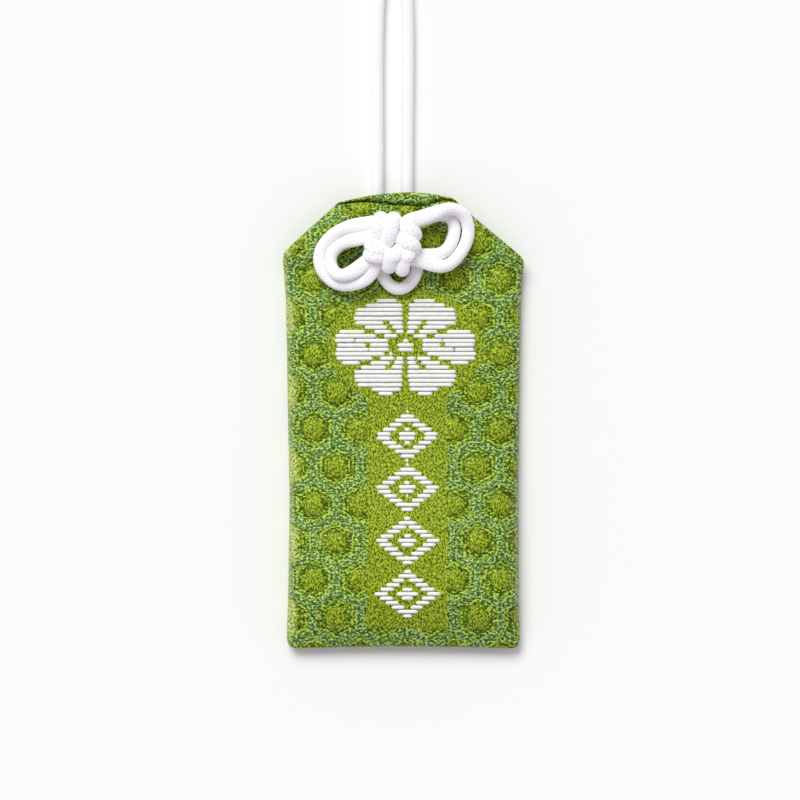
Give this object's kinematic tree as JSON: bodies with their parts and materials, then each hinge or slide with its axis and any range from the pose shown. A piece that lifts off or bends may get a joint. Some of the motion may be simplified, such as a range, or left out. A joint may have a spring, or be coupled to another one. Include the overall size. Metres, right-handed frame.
{
  "type": "omamori charm",
  "caption": "Folded brocade amulet pouch tied shut with a braided cord in a double bow knot, with a hanging cord of two strands; holds a board and a paper slip.",
  "frame": {"origin": "middle of the pouch, on the surface that its back lies on", "axes": "+X across the pouch to its right seen from the front, +Y along it towards the hanging cord, +Z out of the front panel"},
  "size_m": [0.042, 0.1457, 0.0162],
  "materials": {
    "brocade": "woven brocade, dry with a slight silk sheen",
    "thread": "twisted polyester sewing thread",
    "board": "uncoated grey board",
    "paper": "uncoated white paper",
    "cord": "fine white braid, soft sheen"
  },
  "bodies": {
    "pouch": {"brocade_pouch": "brocade", "left_seam_thread": "thread", "right_seam_thread": "thread", "tied_cord": "cord"},
    "inner_charm": {"stiffener_board": "board", "prayer_slip": "paper"},
    "hanging_cord": {"hanging_strand_left": "cord", "hanging_strand_right": "cord"}
  },
  "joints": [
    {"name": "hanging_cord_swing", "type": "hinge", "parent": "pouch", "child": "hanging_cord", "pos_m": [-0.0018, 0.041, 0.0023], "axis": [1, 0, 0], "range_deg": [0, 100]},
    {"name": "inner_charm_slide", "type": "slide", "parent": "pouch", "child": "inner_charm", "axis": [0, 1, 0], "range_m": [0, 0.0025]}
  ]
}
